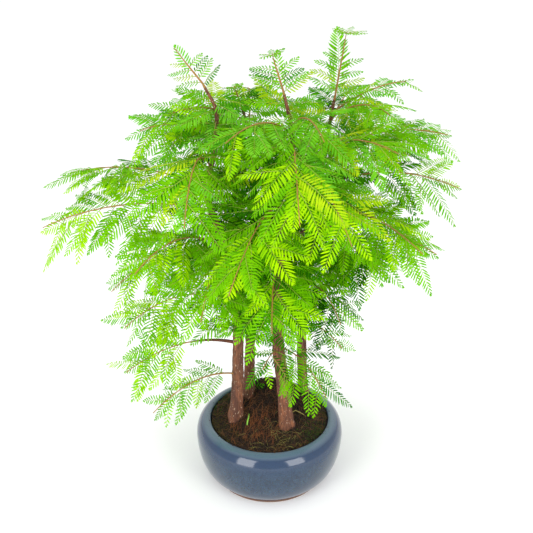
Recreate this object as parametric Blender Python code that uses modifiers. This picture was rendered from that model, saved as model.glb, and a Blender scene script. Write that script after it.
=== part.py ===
"""Dawn redwood bonsai forest: four young trunks in a round glazed bowl, each bough one limb,
and each mass of needles one solid of toothed sprays on a stem. Millimetres below, metres in
the scene. +Z is up, the front looks along -Y, and the origin is under the middle of the pot."""

from collections import namedtuple
from math import cos, exp, pi, radians, sin
from random import Random

import bmesh
import bpy
from mathutils import Quaternion, Vector
from mathutils.bvhtree import BVHTree

MM = 0.001
UP = Vector((0.0, 0.0, 1.0))
SEED = 41

# Pot: a squat bowl whose shoulder rolls in over the soil
POT_RADIUS = 100.0
BELLY_HEIGHT = 66.0
FOOT_RADIUS = 75.5
FOOT_HEIGHT = 7.5
MOUTH_RADIUS = 80.0
RIM_TOP = 88.5
WALL = 6.0
FLOOR = 9.0
FOOT_STEP = 1.0
TURNS = 32
MOUTH = (MOUTH_RADIUS, RIM_TOP - 0.5 * WALL)
RIM_INSIDE = (MOUTH_RADIUS + 0.8, RIM_TOP - 1.1)
RIM_CREST = (MOUTH_RADIUS + 0.55 * WALL, RIM_TOP)
BELLY = (POT_RADIUS, BELLY_HEIGHT)

# Soil: a mound, highest behind the middle
SOIL_EDGE_HEIGHT = 84.5
MOUND_RISE = 33.0
MOUND_CENTRE = (0.0, 34.0)
MOUND_SPREAD = 45.0
SOIL_RINGS = (0.0, 0.35, 0.7, 1.0)
SEAT = 0.3
SOIL_SEAT = 2 * SEAT
SOCKET_SEAT = 1.3 * SEAT
TRUNK_SINK = 6.0

# Limbs
TRUNK_BEVEL = 2
BOUGH_BEVEL = 1
STEM_BEVEL = 0
TRUNK_RINGS = 10
STEM_PIECES = 4
BOUGH_PIECES = 3
TOP_RADIUS = 1.6
TAPER_POWER = 0.85
FOOT_RINGS = (2.0, 10.0)
BELOW_FOOT = 15.0
ROOT_FLARE = 0.4
FLARE_HEIGHT = 10.0
FLARE_LOBES = 3
BOUGH_ROOT_RADIUS = 2.6
BOUGH_TIP_RADIUS = 1.5
STEM_ROOT_RADIUS = 1.5
STEM_TIP_RADIUS = 0.8
STEM_SHARE = 0.86
BARE_STEM_RADIUS = 1.25 * STEM_ROOT_RADIUS
BRANCH_SWING = 9

# Sprays of needles. The shares are of a spray's own length
SPRAY_TEETH = 5
SHORT_SPRAY = 56.0
BARE_FOOT = 0.11
LAST_TOOTH = 0.93
RACHIS_HALF = 1.2
RACHIS_HEIGHT = 1.9
RACHIS_TAPER = 0.55
TOOTH_REACH = 0.27
FOOT_TOOTH = 0.62
WIDEST = 1 / 3
TIP_TAPER = 0.55
TIP_START = 0.45
TOOTH_SWEEP = 0.42
TOOTH_HANG = 0.12

# Where the sprays stand on a branch, and how far one may turn to find room
END_ROOT = 0.80
LAST_SIDE = 0.69
FIRST_AFTER_BOUGH = 0.10
FIRST_ON_STEM = 0.24
SPRAY_ANGLE = (50, 62)
ANGLE_CLOSING = 14
FOOT_LENGTH = 1.08
SHORTENING = 0.35
LENGTH_SPREAD = (0.92, 1.08)
SAG_SPREAD = (0.06, 0.20)
END_SAG = 0.06
END_HALF = 0.85
LEAST_END = 0.6
LEAST_HANG = 0.12
END_ON_HANG = 0.34
TRIES = 16
MOST_SWING = 40
MOST_LIFT = 0.5
MOST_ROLL = 50
MOST_SHRINK = 0.35

# The slab that keeps room round a spray
GUARD_SHARES = (BARE_FOOT, 0.55, 1.04)
GUARD_END = 0.75
CLEAR_SIDE = 1.2
CLEAR_FACE = 0.8

# Leaders
FEATHER_TEETH = 6
WHORL_TEETH = 2
FIRST_SIDE = 0.12
SIDES_SPAN = 0.5
SIDE_TURN = 35
SIDE_RISE = 0.45
SIDE_DEPTH = 0.8
SIDE_SAG = 0.1
WHORL_RISE = 0.35
WHORL_SAG = 0.15
WHORL_DROP = 2.0
LEADER_PIECES = 3
LEADER_FOOT = 5.0
LEADER_BOW = 1.5
LEADER_SHORT = 0.06

Trunk = namedtuple("Trunk", "name radius bends")
TRUNKS = (
    Trunk("front_left", 8.6, ((-46, -14, 97), (-42, -14, 160), (-42, -15, 275), (-57, -16, 355),
                              (-75, -16, 425), (-64, -14, 478), (-62, -12, 523), (-74, -10, 549))),
    Trunk("back_left", 7.2, ((-28, 20, 109), (-27, 30, 155), (-25, 36, 218), (-23, 42, 298),
                             (-20, 48, 400), (-23, 50, 467), (-33, 50, 505))),
    Trunk("front_centre", 9.2, ((22, -30, 97), (18, -28, 155), (12, -28, 208), (9, -30, 288),
                                (16, -28, 367), (26, -22, 448), (25, -18, 502), (16, -15, 542))),
    Trunk("back_right", 7.0, ((48, 46, 95), (45, 52, 160), (46, 52, 221), (53, 48, 317),
                              (63, 42, 406), (73, 36, 497), (77, 35, 522))),
)

# height: where the branch leaves its trunk, above the table. heading: degrees from +X, seen from
# above, so that 270 is the front. reach and rise: how far out and up the tip lies. arch: how far the
# middle bows up. roll: how far the sprays' faces turn to the front. bare: the share that is a bough,
# or 0 where the mass's stem meets the trunk. spray and count: length and number of the sprays
Branch = namedtuple("Branch", "name trunk height heading reach rise arch roll bare spray count")
BRANCHES = (
    Branch("left_lowest", "front_left", 165, 203, 118, -30, 22, 20, 0.0, 54, 4),
    Branch("left_low", "front_left", 213, 188, 146, -32, 20, 25, 0.40, 70, 4),
    Branch("left_middle", "front_left", 275, 195, 143, -18, 24, 25, 0.22, 74, 4),
    Branch("left_wide", "front_left", 400, 184, 202, -16, 22, 35, 0.22, 86, 6),
    Branch("left_upper", "front_left", 430, 160, 190, -8, 18, -10, 0.25, 80, 5),
    Branch("left_front", "front_left", 350, 228, 142, 18, 28, 15, 0.0, 76, 5),
    Branch("front_left_high", "front_left", 455, 262, 145, -15, 38, 0, 0.0, 82, 5),
    Branch("front_left_low", "front_left", 330, 255, 108, -25, 28, 0, 0.0, 74, 5),
    Branch("top_left", "front_left", 488, 178, 88, 10, 12, 30, 0.0, 68, 4),
    Branch("left_inner", "back_left", 330, 184, 187, -66, 30, 15, 0.50, 76, 4),
    Branch("back_left_low", "back_left", 290, 150, 165, -30, 26, -15, 0.0, 76, 4),
    Branch("back_left_middle", "back_left", 370, 118, 190, -15, 28, 0, 0.25, 84, 5),
    Branch("back_left_high", "back_left", 440, 135, 165, 10, 20, -10, 0.0, 80, 4),
    Branch("back_top", "back_left", 480, 92, 130, 15, 18, 0, 0.0, 74, 3),
    Branch("top_inner_left", "back_left", 490, 212, 110, 25, 14, 20, 0.0, 70, 3),
    Branch("front_low_left", "front_centre", 400, 247, 165, -30, 42, 0, 0.25, 86, 6),
    Branch("front_high", "front_centre", 475, 271, 165, -20, 42, 0, 0.25, 86, 6),
    Branch("front_right_high", "front_centre", 435, 294, 150, -15, 36, 0, 0.0, 82, 5),
    Branch("front_low", "front_centre", 330, 265, 112, -28, 28, 0, 0.0, 76, 5),
    Branch("front_right_lowest", "front_centre", 215, 310, 90, -30, 14, 10, 0.0, 62, 4),
    Branch("front_lowest", "front_centre", 205, 250, 60, 12, 12, 0, 0.0, 48, 3),
    Branch("right_front_high", "front_centre", 470, 333, 128, 24, 18, 20, 0.0, 76, 4),
    Branch("right_long", "front_centre", 368, 353, 184, -10, 24, 25, 0.25, 76, 5),
    Branch("top_front_left", "front_centre", 495, 228, 110, 18, 20, 15, 0.0, 76, 5),
    Branch("top_front_right", "front_centre", 505, 290, 95, 12, 18, 10, 0.0, 70, 4),
    Branch("right_wide", "back_right", 408, 353, 172, 6, 20, 15, 0.28, 74, 5),
    Branch("right_high", "back_right", 455, 2, 150, 20, 16, 20, 0.0, 74, 4),
    Branch("right_top", "back_right", 505, 8, 90, 36, 8, 15, 0.0, 54, 3),
    Branch("right_low", "back_right", 265, 300, 84, -20, 16, 10, 0.0, 64, 3),
    Branch("right_lowest", "back_right", 205, 337, 58, -28, 10, 15, 0.0, 48, 3),
    Branch("front_right_middle", "back_right", 365, 310, 180, 14, 28, 10, 0.0, 82, 5),
    Branch("right_middle", "back_right", 315, 315, 120, 10, 22, 15, 0.0, 76, 5),
    Branch("top_right_front", "back_right", 498, 318, 85, 22, 14, 10, 0.0, 66, 3),
    Branch("back_low", "back_right", 300, 98, 178, -20, 24, 0, 0.0, 80, 4),
    Branch("back_right_middle", "back_right", 370, 72, 186, -12, 26, -10, 0.25, 84, 5),
    Branch("back_right_low", "back_right", 275, 40, 155, -20, 22, -15, 0.0, 76, 4),
    Branch("back_right_high", "back_right", 440, 38, 165, 0, 20, -15, 0.0, 80, 4),
    Branch("back_top_right", "back_right", 490, 65, 110, 22, 14, 0, 0.0, 70, 3),
    Branch("back_lowest", "back_right", 220, 85, 120, -30, 18, 0, 0.0, 66, 3),
)

# A leader carries a feather that faces the front, side sprays below it and a small whorl at its tip
Leader = namedtuple("Leader", "trunk tip feather feather_half sides side_length whorl whorl_length")
LEADERS = (
    Leader("front_left", (-107, -10, 594), 30, 10, 4, 38, 0, 0),
    Leader("back_left", (-43, 50, 534), 24, 9, 4, 48, 0, 0),
    Leader("front_centre", (2, -12, 588), 42, 11, 4, 46, 3, 16),
    Leader("back_right", (88, 30, 603), 70, 21, 4, 44, 4, 28),
)


def rgb(*levels):
    """Colour from 0-255 display levels, as linear values."""
    return [(v / 255 / 12.92) if v <= 10 else ((v / 255 + 0.055) / 1.055) ** 2.4 for v in levels] + [1.0]


def principled(name, colour, roughness):
    material = bpy.data.materials.new(name)
    material.use_nodes = True
    shader = material.node_tree.nodes["Principled BSDF"]
    shader.inputs["Base Color"].default_value = colour
    shader.inputs["Roughness"].default_value = roughness
    shader.inputs["Metallic"].default_value = 0.0
    return material


def add_object(name, mesh, collection, material=None):
    if material:
        mesh.materials.append(material)
    ob = bpy.data.objects.new(name, mesh)
    collection.objects.link(ob)
    return ob


def remove(ob):
    mesh = ob.data
    bpy.data.objects.remove(ob, do_unlink=True)
    if mesh and mesh.users == 0:
        bpy.data.meshes.remove(mesh)


def applied(ob):
    """Replace the object's mesh by its evaluated one, with no modifiers left."""
    graph = bpy.context.evaluated_depsgraph_get()
    mesh = bpy.data.meshes.new_from_object(ob.evaluated_get(graph))
    old = ob.data
    ob.modifiers.clear()
    ob.data = mesh
    bpy.data.meshes.remove(old)


def cut(ob, cutter):
    change = ob.modifiers.new("cut", "BOOLEAN")
    change.operation = "DIFFERENCE"
    change.solver = "EXACT"
    change.object = cutter


def keep_largest_body(mesh):
    """Drop loose scraps and sealed hollows that a union can leave."""
    bm = bmesh.new()
    bm.from_mesh(mesh)
    left = set(bm.faces)
    bodies = []
    while left:
        front = [left.pop()]
        body = set(front)
        while front:
            face = front.pop()
            for edge in face.edges:
                for near in edge.link_faces:
                    if near in left:
                        left.discard(near)
                        body.add(near)
                        front.append(near)
        bodies.append(body)
    bodies.sort(key=lambda body: sum(f.calc_area() for f in body), reverse=True)
    scraps = [f for body in bodies[1:] for f in body]
    if scraps:
        bmesh.ops.delete(bm, geom=scraps, context="FACES")
        loose = [v for v in bm.verts if not v.link_faces]
        bmesh.ops.delete(bm, geom=loose, context="VERTS")
    bm.to_mesh(mesh)
    bm.free()


def tube(name, points, radii, bevel, collection):
    """A tapering limb through points, as a mesh with welded end caps."""
    curve = bpy.data.curves.new(name, "CURVE")
    curve.dimensions = "3D"
    curve.bevel_depth = MM
    curve.bevel_resolution = bevel
    curve.use_fill_caps = True
    spline = curve.splines.new("POLY")
    spline.points.add(len(points) - 1)
    for knot, point, radius in zip(spline.points, points, radii):
        knot.co = (*(point * MM), 1.0)
        knot.radius = radius
    guide = bpy.data.objects.new(name + "_guide", curve)
    collection.objects.link(guide)
    graph = bpy.context.evaluated_depsgraph_get()
    mesh = bpy.data.meshes.new_from_object(guide.evaluated_get(graph))
    bpy.data.objects.remove(guide, do_unlink=True)
    bpy.data.curves.remove(curve)
    bm = bmesh.new()
    bm.from_mesh(mesh)
    bmesh.ops.remove_doubles(bm, verts=bm.verts, dist=1e-7)
    bmesh.ops.recalc_face_normals(bm, faces=bm.faces)
    bm.to_mesh(mesh)
    bm.free()
    return add_object(name, mesh, collection)


def turned(name, profile, collection, material):
    """A body of revolution from (radius, height) pairs that run down its outer side."""
    mesh = bpy.data.meshes.new(name)
    points = [(r * MM, 0.0, z * MM) for r, z in profile]
    mesh.from_pydata(points, [(i, i + 1) for i in range(len(points) - 1)], [])
    ob = add_object(name, mesh, collection, material)
    screw = ob.modifiers.new("turn", "SCREW")
    screw.steps = TURNS
    screw.render_steps = TURNS
    screw.use_merge_vertices = True
    screw.merge_threshold = 1e-6
    screw.use_smooth_shade = True
    return ob


def arc(start, end, bulge, count):
    """Points from start to end along a quarter of an ellipse. bulge +1 leaves along the radius."""
    points = []
    for i in range(1, count + 1):
        a = 0.5 * pi * i / count
        across, down = (sin(a), 1 - cos(a)) if bulge > 0 else (1 - cos(a), sin(a))
        points.append((start[0] + (end[0] - start[0]) * across, start[1] + (end[1] - start[1]) * down))
    return points


def inner_wall():
    """The pot's inside from the middle of its floor to the mouth."""
    belly = (POT_RADIUS - WALL, BELLY_HEIGHT)
    floor_edge = (FOOT_RADIUS - WALL, FLOOR)
    return [(0.0, FLOOR), floor_edge, *arc(floor_edge, belly, 1, 2), *arc(belly, MOUTH, -1, 2)]


def make_pot(collection):
    foot_top = (FOOT_RADIUS - FOOT_STEP, FOOT_HEIGHT)
    side = [*arc(RIM_CREST, BELLY, 1, 3), *arc(BELLY, foot_top, -1, 4)]
    foot = [(FOOT_RADIUS, FOOT_HEIGHT - FOOT_STEP), (FOOT_RADIUS, 0.0), (0.0, 0.0)]
    profile = [*inner_wall(), RIM_INSIDE, RIM_CREST, *side, *foot]
    turned("pot", profile, collection, principled("blue_glaze", rgb(92, 116, 140), 0.12))


def ground(x, y):
    """Height of the soil at a place."""
    apart = (x - MOUND_CENTRE[0]) ** 2 + (y - MOUND_CENTRE[1]) ** 2
    rim_share = min(1.0, (x * x + y * y) / (MOUTH_RADIUS - SOIL_SEAT) ** 2)
    return SOIL_EDGE_HEIGHT + MOUND_RISE * exp(-apart / (2 * MOUND_SPREAD**2)) * (1 - rim_share**3)


def make_soil(collection, feet):
    """The soil inside the pot, with a socket for each trunk's foot."""
    profile = [((MOUTH_RADIUS - SOIL_SEAT) * share, SOIL_EDGE_HEIGHT) for share in SOIL_RINGS]
    profile.append((POT_RADIUS - WALL - SOIL_SEAT - FOOT_STEP, BELLY_HEIGHT))
    profile += [(FOOT_RADIUS - WALL - SOIL_SEAT, FLOOR + SEAT), (0.0, FLOOR + SEAT)]
    soil = turned("soil", profile, collection, principled("soil", rgb(58, 38, 24), 0.95))
    applied(soil)
    for vertex in soil.data.vertices:
        if vertex.co.z > (SOIL_EDGE_HEIGHT - SEAT) * MM:
            vertex.co.z = ground(vertex.co.x / MM, vertex.co.y / MM) * MM
    for foot in feet:
        cut(soil, foot)


def axis_at(trunk, height):
    """Centre of the trunk at a height: a smooth curve through its bends."""
    bends = trunk.bends
    for i in range(len(bends) - 1):
        if height <= bends[i + 1][2] or i == len(bends) - 2:
            break
    before, low, high = bends[max(i - 1, 0)], bends[i], bends[i + 1]
    after = bends[min(i + 2, len(bends) - 1)]
    span = high[2] - low[2]
    t = (height - low[2]) / span
    point = []
    for k in (0, 1):
        slope_low = (high[k] - before[k]) / max(high[2] - before[2], 1) * span
        slope_high = (after[k] - low[k]) / max(after[2] - low[2], 1) * span
        point.append((2 * t**3 - 3 * t**2 + 1) * low[k] + (t**3 - 2 * t**2 + t) * slope_low
                     + (3 * t**2 - 2 * t**3) * high[k] + (t**3 - t**2) * slope_high)
    return Vector((point[0], point[1], height))


def trunk_radius(trunk, height):
    foot, top = trunk.bends[0][2], trunk.bends[-1][2]
    share = min(max((top - height) / (top - foot), 0.0), 1.0)
    return TOP_RADIUS + (trunk.radius - TOP_RADIUS) * share**TAPER_POWER


def trunk_body(trunk, collection, grow=0.0, foot_drop=0.0):
    """The trunk, cut flat at its foot and flared into root lobes. grow fattens it all round."""
    foot = trunk.bends[0][2] - TRUNK_SINK - foot_drop
    top = trunk.bends[-1][2]
    start = foot - BELOW_FOOT
    rings = [start + (top - start) * i / TRUNK_RINGS for i in range(1, TRUNK_RINGS + 1)]
    heights = [start, *(foot + up for up in FOOT_RINGS), *(h for h in rings if h > foot + FOOT_RINGS[-1])]
    points = [axis_at(trunk, h) for h in heights]
    radii = [trunk_radius(trunk, h) + grow for h in heights]
    body = tube("trunk_" + trunk.name, points, radii, TRUNK_BEVEL, collection)
    bm = bmesh.new()
    bm.from_mesh(body.data)
    cut_away = bmesh.ops.bisect_plane(bm, geom=bm.verts[:] + bm.edges[:] + bm.faces[:],
                                      plane_co=(0, 0, foot * MM), plane_no=UP, clear_inner=True)
    rim = [e for e in cut_away["geom_cut"] if isinstance(e, bmesh.types.BMEdge)]
    bmesh.ops.contextual_create(bm, geom=rim)
    bmesh.ops.recalc_face_normals(bm, faces=bm.faces)
    phase = SEED + trunk.radius
    for vertex in bm.verts:
        height = vertex.co.z / MM
        centre = axis_at(trunk, height) * MM
        out = Vector((vertex.co.x - centre.x, vertex.co.y - centre.y, 0.0))
        if height < trunk.bends[0][2] + 3 * FLARE_HEIGHT and out.length > 0:
            fade = exp(-max(height - foot - TRUNK_SINK, 0.0) / FLARE_HEIGHT)
            turn = Vector((1, 0)).angle_signed(out.to_2d().normalized())
            lobes = 0.6 + 0.4 * cos(FLARE_LOBES * turn + phase)
            vertex.co += out * ROOT_FLARE * fade * lobes
    bm.to_mesh(body.data)
    bm.free()
    return body


def heading_vector(degrees):
    return Vector((cos(radians(degrees)), sin(radians(degrees)), 0.0))


def branch_line(branch, trunks, share):
    """A point of the branch, from the trunk's axis at share 0 to the tip at 1."""
    root = axis_at(trunks[branch.trunk], branch.height)
    swing = Random(SEED + branch.height + branch.heading).uniform(-9, 9)
    flat = heading_vector(branch.heading + swing * (1 - share)) * branch.reach * share
    lift = branch.rise * share + branch.arch * 4 * share * (1 - share)
    return root + flat + UP * lift


def branch_points(branch, trunks, start, end, count):
    return [branch_line(branch, trunks, start + (end - start) * i / count) for i in range(count + 1)]


def tapered(count, root, tip):
    return [root + (tip - root) * i / count for i in range(count + 1)]


def tooth_reach(share, half):
    """Teeth are longest on the first half of a spray and shorter towards its foot and tip."""
    swell = FOOT_TOOTH + (1 - FOOT_TOOTH) * sin(0.5 * pi * min(share / WIDEST, 2.0))
    return half * swell * (1 - TIP_TAPER * max(share - TIP_START, 0.0))


def spray_mesh(root, along, face, length, half, sag, teeth):
    """A flat spray: a ridged rachis with a wedge for each bunch of needles on either side.
    Returns its corners in mm and its triangles."""
    along = along.normalized()
    face = (face - along * face.dot(along)).normalized()
    side = along.cross(face)
    corners, triangles = [], []
    shares = [0.0] + [BARE_FOOT + (LAST_TOOTH - BARE_FOOT) * i / teeth for i in range(teeth + 1)]
    for share in shares:
        centre = root + along * length * share - UP * sag * length * share**2
        thin = 1 - RACHIS_TAPER * share
        corners.append(centre + face * RACHIS_HEIGHT * thin)
        corners.append(centre - side * RACHIS_HALF * thin)
        corners.append(centre + side * RACHIS_HALF * thin)
    triangles.append((0, 1, 2))
    for i in range(teeth + 1):
        top, left, right = 3 * i, 3 * i + 1, 3 * i + 2
        next_top, next_left, next_right = top + 3, left + 3, right + 3
        triangles += [(left, next_left, right), (right, next_left, next_right)]
        if i == 0:
            triangles += [(top, next_top, left), (left, next_top, next_left)]
            triangles += [(top, right, next_top), (right, next_right, next_top)]
            continue
        middle = 0.5 * (shares[i] + shares[i + 1])
        reach = tooth_reach(middle, half)
        share = middle + TOOTH_SWEEP * reach / length
        centre = root + along * length * share - UP * sag * length * middle**2
        centre -= face * TOOTH_HANG * reach
        for sign in (-1, 1):
            tip = len(corners)
            corners.append(centre + side * sign * reach)
            edge, next_edge = (left, next_left) if sign < 0 else (right, next_right)
            fan = [(top, next_top, tip), (next_top, next_edge, tip)]
            fan += [(edge, top, tip), (next_edge, edge, tip)]
            triangles += fan if sign < 0 else [tuple(reversed(t)) for t in fan]
    end = len(corners)
    corners.append(root + along * length - UP * sag * length)
    top, left, right = 3 * (teeth + 1), 3 * (teeth + 1) + 1, 3 * (teeth + 1) + 2
    triangles += [(top, end, left), (top, right, end), (left, end, right)]
    return corners, triangles


def guard_mesh(root, along, face, length, half, sag):
    """A curved slab that holds the spray with clearance to spare, for the touch test."""
    along = along.normalized()
    face = (face - along * face.dot(along)).normalized()
    side = along.cross(face)
    corners, quads = [], []
    wide = half + CLEAR_SIDE
    for k, share in enumerate(GUARD_SHARES):
        centre = root + along * length * share - UP * sag * length * share**2
        for up, out in ((1, -1), (1, 1), (-1, 1), (-1, -1)):
            thick = RACHIS_HEIGHT + CLEAR_FACE if up > 0 else -TOOTH_HANG * half - CLEAR_FACE
            narrow = wide * (GUARD_END if k == 2 else 1.0)
            corners.append(centre + face * thick + side * out * narrow)
        if k:
            base = 4 * (k - 1)
            for j, after in ((0, 1), (1, 2), (2, 3), (3, 0)):
                quads.append((base + j, base + after, base + 4 + after, base + 4 + j))
    quads += [(0, 1, 2, 3), (8, 9, 10, 11)]
    return corners, quads


class Occupied:
    """Everything made so far, for testing whether a new spray would touch it."""

    def __init__(self):
        self.groups = {}
        self.tree = None

    def add(self, owner, corners, faces):
        self.groups.setdefault(owner, []).append((corners, faces))
        self.tree = None

    def add_object(self, owner, ob):
        mesh = ob.data
        self.add(owner, [v.co / MM for v in mesh.vertices], [tuple(p.vertices) for p in mesh.polygons])

    def touches(self, corners, faces, skip):
        if self.tree is None or self.tree[0] != skip:
            all_corners, all_faces = [], []
            for owner, parts in self.groups.items():
                if owner == skip:
                    continue
                for points, polygons in parts:
                    base = len(all_corners)
                    all_corners += points
                    all_faces += [tuple(i + base for i in polygon) for polygon in polygons]
            self.tree = (skip, BVHTree.FromPolygons(all_corners, all_faces))
        return bool(self.tree[1].overlap(BVHTree.FromPolygons(corners, faces)))


def add_spray(sprays, occupied, stem_name, root, along, face, length, half, sag, chance):
    """Try to grow one spray. It swings and rolls until it clears everything, or is left out."""
    for attempt in range(TRIES):
        spread = attempt / TRIES
        swing = Quaternion(face, radians(chance.uniform(-MOST_SWING, MOST_SWING) * spread))
        direction = swing @ along.normalized()
        direction.z += chance.uniform(-MOST_LIFT, MOST_LIFT) * spread
        direction.normalize()
        roll = radians(chance.uniform(-MOST_ROLL, MOST_ROLL) * spread)
        turned_face = Quaternion(direction, roll) @ face
        size = length * (1 - MOST_SHRINK * spread)
        shape = (root, direction, turned_face, size, half * size / length, sag)
        if not occupied.touches(*guard_mesh(*shape), stem_name):
            teeth = SPRAY_TEETH if size > SHORT_SPRAY else SPRAY_TEETH - 1
            sprays.append(spray_mesh(*shape, teeth))
            occupied.add("sprays", *sprays[-1])
            return


def frond_axes(branch, trunks, share):
    """At a place on the branch: the way ahead, the sprays' sideways axis and their face."""
    root = branch_line(branch, trunks, share)
    ahead = (branch_line(branch, trunks, share + 0.02) - root).normalized()
    across = ahead.cross(UP).normalized()
    to_front = -1 if across.y > 0 else 1
    roll = Quaternion(ahead, radians(to_front * branch.roll))
    across = roll @ across
    return root, ahead, across, across.cross(ahead).normalized()


def grow_branch(branch, trunks, occupied, stem_name):
    """The branch's sprays: alternate along the stem and shorter towards its tip, one at the end."""
    chance = Random(SEED * 7 + branch.height * 3 + branch.heading)
    sprays = []
    half = TOOTH_REACH * branch.spray
    root, ahead, across, face = frond_axes(branch, trunks, END_ROOT)
    along = branch_line(branch, trunks, 1.0) - root
    length = max(along.length, LEAST_END * branch.spray)
    add_spray(sprays, occupied, stem_name, root, along, face, length, END_HALF * half, END_SAG, chance)
    first = branch.bare + FIRST_AFTER_BOUGH if branch.bare else FIRST_ON_STEM
    most_hang = LEAST_HANG + END_ON_HANG * abs(heading_vector(branch.heading).y)
    for k in range(branch.count - 1):
        share = first + (LAST_SIDE - first) * k / max(branch.count - 2, 1)
        root, ahead, across, face = frond_axes(branch, trunks, share)
        hand = 1 if (k + branch.height) % 2 else -1
        angle = radians(chance.uniform(*SPRAY_ANGLE) - ANGLE_CLOSING * share)
        along = ahead * cos(angle) + across * hand * sin(angle)
        along.z -= chance.uniform(0.0, most_hang)
        length = branch.spray * (FOOT_LENGTH - SHORTENING * share) * chance.uniform(*LENGTH_SPREAD)
        sag = chance.uniform(*SAG_SPREAD)
        add_spray(sprays, occupied, stem_name, root, along, face, length, half, sag, chance)
    return sprays


def grow_leader(leader, base, occupied, stem_name):
    """A feather up the leader, a few sprays at its foot and a whorl round its tip."""
    chance = Random(SEED * 11 + leader.feather)
    sprays = []
    tip = Vector(leader.tip)
    up = (tip - base).normalized()
    front = Vector((0.0, -1.0, 0.0))
    across = up.cross(front).normalized()
    foot = tip - up * leader.feather
    sprays.append(spray_mesh(foot, up, front, leader.feather, leader.feather_half, 0.0, FEATHER_TEETH))
    occupied.add("sprays", *sprays[-1])
    half = TOOTH_REACH * leader.side_length
    face = UP + front * 0.5
    for k in range(leader.sides):
        root = base.lerp(tip, FIRST_SIDE + SIDES_SPAN * k / leader.sides)
        turn = radians(180 * k + chance.uniform(-SIDE_TURN, SIDE_TURN))
        along = across * cos(turn) + front * sin(turn) * SIDE_DEPTH + UP * SIDE_RISE
        add_spray(sprays, occupied, stem_name, root, along, face, leader.side_length, half, SIDE_SAG,
                  chance)
    half = TOOTH_REACH * leader.whorl_length
    foot = tip - up * WHORL_DROP
    for k in range(leader.whorl):
        turn = 2 * pi * (k + 0.5) / leader.whorl
        along = across * cos(turn) + front * sin(turn) + UP * WHORL_RISE
        sprays.append(spray_mesh(foot, along, UP, leader.whorl_length, half, WHORL_SAG, WHORL_TEETH))
        occupied.add("sprays", *sprays[-1])
    return sprays


def fuse_mass(stem, sprays):
    """Join a mass's stem and sprays into one closed body."""
    leaves = bpy.data.collections.new("sprays")
    for k, (corners, triangles) in enumerate(sprays):
        mesh = bpy.data.meshes.new(f"spray_{k}")
        mesh.from_pydata([c * MM for c in corners], [], triangles)
        bm = bmesh.new()
        bm.from_mesh(mesh)
        bmesh.ops.recalc_face_normals(bm, faces=bm.faces)
        bm.to_mesh(mesh)
        bm.free()
        add_object(f"spray_{k}", mesh, leaves)
    union = stem.modifiers.new("join", "BOOLEAN")
    union.operation = "UNION"
    union.operand_type = "COLLECTION"
    union.solver = "EXACT"
    union.collection = leaves
    applied(stem)
    for ob in list(leaves.objects):
        remove(ob)
    bpy.data.collections.remove(leaves)
    keep_largest_body(stem.data)


def make_trunks(parts, guides, bark, occupied):
    """The trunks. Returns a fatter copy of each, to cut limbs clear of it, and one for its socket."""
    clear = {}
    sockets = []
    for trunk in TRUNKS:
        body = trunk_body(trunk, parts)
        body.data.materials.append(bark)
        occupied.add_object("trunk", body)
        clear[trunk.name] = trunk_body(trunk, guides, grow=SEAT)
        sockets.append(trunk_body(trunk, guides, grow=SOCKET_SEAT, foot_drop=SEAT))
    for cutter in [*clear.values(), *sockets]:
        cutter.name = "cutter_" + cutter.name
        cutter.hide_render = True
        cutter.display_type = "WIRE"
    return clear, sockets


def make_limb(name, points, radii, bevel, collection, material, trunk_cutter=None):
    """A bough or stem. Where it starts inside a trunk, it is cut clear of it."""
    limb = tube(name, points, radii, bevel, collection)
    if trunk_cutter:
        cut(limb, trunk_cutter)
        applied(limb)
        keep_largest_body(limb.data)
    limb.data.materials.append(material)
    return limb


def make_branch(branch, trunks, clear, parts, materials, occupied):
    """The branch's bough, where it has one, and the stem of its mass, which is returned."""
    bark, needles = materials
    cutter = clear[branch.trunk]
    start = 0.0
    radius = BARE_STEM_RADIUS
    if branch.bare:
        knots = branch_points(branch, trunks, 0.0, branch.bare, BOUGH_PIECES)
        radii = tapered(BOUGH_PIECES, BOUGH_ROOT_RADIUS, BOUGH_TIP_RADIUS)
        bough = make_limb("bough_" + branch.name, knots, radii, BOUGH_BEVEL, parts, bark, cutter)
        occupied.add_object("bough", bough)
        start = branch.bare + SEAT / branch.reach
        radius = STEM_ROOT_RADIUS
        cutter = None
    knots = branch_points(branch, trunks, start, STEM_SHARE, STEM_PIECES)
    radii = tapered(STEM_PIECES, radius, STEM_TIP_RADIUS)
    stem = make_limb("foliage_" + branch.name, knots, radii, STEM_BEVEL, parts, needles, cutter)
    occupied.add_object(stem.name, stem)
    return stem


def make_leader(leader, trunks, parts, needles, occupied):
    """The stem of a leader, seated on its trunk's top. Returns the stem and its foot."""
    trunk = trunks[leader.trunk]
    top = axis_at(trunk, trunk.bends[-1][2])
    up = (top - axis_at(trunk, top.z - LEADER_FOOT)).normalized()
    base = top + up * SEAT
    tip = Vector(leader.tip)
    middle = base.lerp(tip, 0.5) + up * LEADER_BOW
    knots = [base, base + up * LEADER_FOOT, middle, tip.lerp(base, LEADER_SHORT)]
    radii = tapered(LEADER_PIECES, TOP_RADIUS, STEM_TIP_RADIUS)
    stem = make_limb("foliage_leader_" + leader.trunk, knots, radii, STEM_BEVEL, parts, needles)
    occupied.add_object(stem.name, stem)
    return stem, base


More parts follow.
